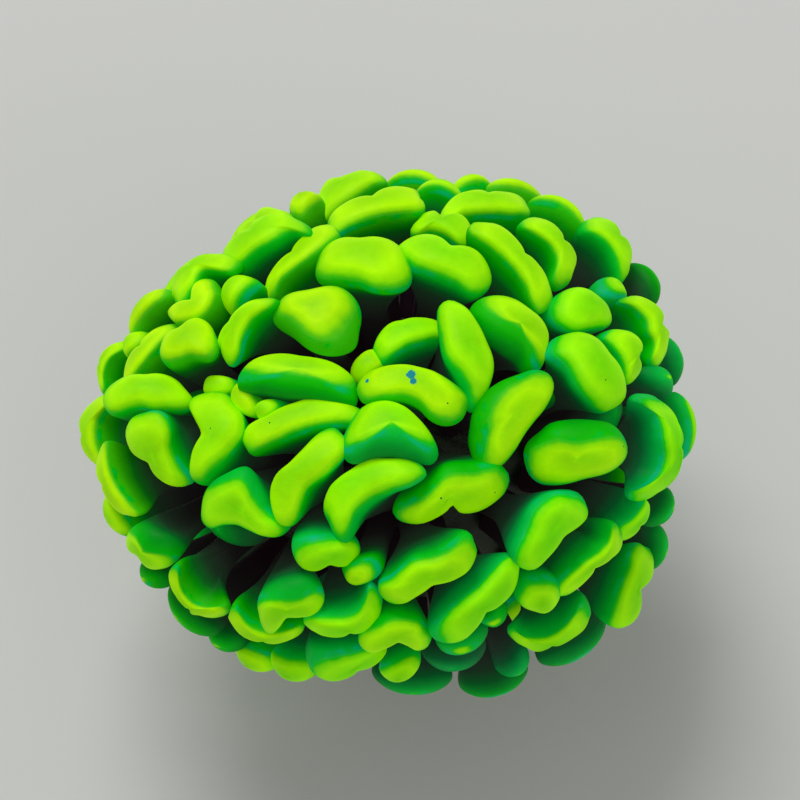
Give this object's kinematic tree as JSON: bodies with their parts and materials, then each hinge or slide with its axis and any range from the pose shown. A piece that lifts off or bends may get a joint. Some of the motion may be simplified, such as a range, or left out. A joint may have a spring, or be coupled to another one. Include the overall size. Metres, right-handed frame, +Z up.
{
  "type": "hammer coral",
  "caption": "Hammer coral head: a soft polyp with crowded stalked tentacles that flare to hammer-shaped tips, on a stony ribbed stalk cut off flat.",
  "frame": {"origin": "middle of the flat cut across the foot of the stony stalk", "axes": "+Z up, away from the cut; +X to the right and -Y towards the lower edge of the head as the picture shows it"},
  "size_m": [0.0351, 0.0305, 0.0298],
  "materials": {
    "tentacle": "satin",
    "polyp_body": "satin",
    "skeleton": "matte"
  },
  "bodies": {
    "root": {"polyp_body": "polyp_body", "skeleton": "skeleton", "tentacle_01": "tentacle", "tentacle_02": "tentacle", "tentacle_03": "tentacle", "tentacle_04": "tentacle", "tentacle_07": "tentacle", "tentacle_08": "tentacle", "tentacle_10": "tentacle", "tentacle_11": "tentacle", "tentacle_12": "tentacle", "tentacle_13": "tentacle", "tentacle_14": "tentacle", "tentacle_16": "tentacle", "tentacle_17": "tentacle", "tentacle_18": "tentacle", "tentacle_20": "tentacle", "tentacle_22": "tentacle", "tentacle_23": "tentacle", "tentacle_27": "tentacle", "tentacle_28": "tentacle", "tentacle_29": "tentacle", "tentacle_32": "tentacle", "tentacle_34": "tentacle", "tentacle_35": "tentacle", "tentacle_38": "tentacle", "tentacle_39": "tentacle", "tentacle_40": "tentacle", "tentacle_41": "tentacle", "tentacle_42": "tentacle", "tentacle_45": "tentacle", "tentacle_49": "tentacle", "tentacle_53": "tentacle", "tentacle_55": "tentacle", "tentacle_57": "tentacle", "tentacle_59": "tentacle", "tentacle_60": "tentacle", "tentacle_61": "tentacle", "tentacle_62": "tentacle", "tentacle_63": "tentacle", "tentacle_64": "tentacle", "tentacle_65": "tentacle", "tentacle_66": "tentacle", "tentacle_67": "tentacle", "tentacle_68": "tentacle", "tentacle_69": "tentacle", "tentacle_73": "tentacle", "tentacle_74": "tentacle", "tentacle_77": "tentacle", "tentacle_78": "tentacle", "tentacle_79": "tentacle", "tentacle_80": "tentacle", "tentacle_81": "tentacle", "tentacle_82": "tentacle", "tentacle_83": "tentacle", "tentacle_84": "tentacle", "tentacle_85": "tentacle", "tentacle_86": "tentacle", "tentacle_87": "tentacle", "tentacle_88": "tentacle"}
  },
  "joints": []
}
